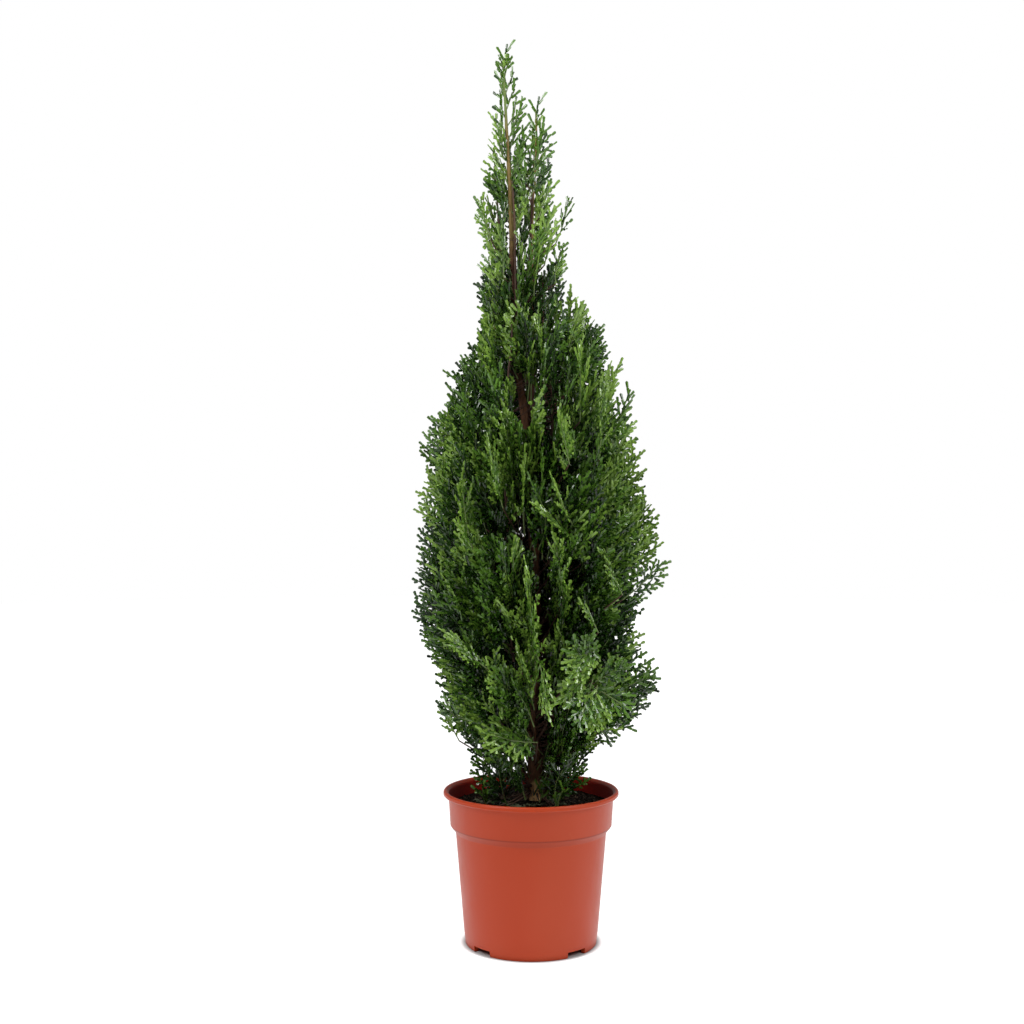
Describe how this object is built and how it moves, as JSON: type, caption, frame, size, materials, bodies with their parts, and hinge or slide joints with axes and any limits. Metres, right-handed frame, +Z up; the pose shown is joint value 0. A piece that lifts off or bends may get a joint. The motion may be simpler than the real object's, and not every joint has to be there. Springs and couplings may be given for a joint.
{
  "type": "potted thuja",
  "caption": "Young columnar conifer with fan-shaped scale foliage and two leading tips, growing in a round tapered plastic nursery pot with a stepped rim.",
  "frame": {"origin": "centre of the pot's underside, in the plane the pot stands on", "axes": "+Z up along the pot's axis and the trunk, -Y towards the viewer, with the slot in the foliage that shows the trunk; +X to the viewer's right"},
  "size_m": [0.2705, 0.2304, 0.975],
  "materials": {
    "pot_plastic": "satin",
    "compost": "matte",
    "bark": "matte",
    "foliage": "satin"
  },
  "bodies": {
    "root": {"compost": "compost", "leader_tip": "foliage", "low_bough_1": "bark", "low_bough_3": "bark", "low_bough_4": "bark", "low_bough_5": "bark", "low_bough_6": "bark", "low_plume_1": "foliage", "low_plume_2": "foliage", "low_plume_3": "foliage", "low_plume_4": "foliage", "low_plume_5": "foliage", "low_plume_6": "foliage", "low_stem_left": "bark", "low_stem_right": "bark", "middle_bough_1": "bark", "middle_bough_2": "bark", "middle_bough_3": "bark", "middle_bough_4": "bark", "middle_bough_5": "bark", "middle_bough_6": "bark", "middle_plume_1": "foliage", "middle_plume_2": "foliage", "middle_plume_3": "foliage", "middle_plume_4": "foliage", "middle_plume_5": "foliage", "middle_plume_6": "foliage", "pot": "pot_plastic", "second_leader": "bark", "second_tip": "foliage", "shoulder_left": "foliage", "shoulder_right": "foliage", "skirt_plume_1": "foliage", "skirt_plume_2": "foliage", "skirt_plume_3": "foliage", "skirt_plume_4": "foliage", "skirt_plume_5": "foliage", "spire_back": "foliage", "spire_front": "foliage", "spire_left": "foliage", "spire_right": "foliage", "trunk": "bark", "upper_bough_1": "bark", "upper_bough_2": "bark", "upper_bough_3": "bark", "upper_bough_4": "bark", "upper_bough_5": "bark", "upper_plume_1": "foliage", "upper_plume_2": "foliage", "upper_plume_3": "foliage", "upper_plume_4": "foliage", "upper_plume_5": "foliage"}
  },
  "joints": []
}
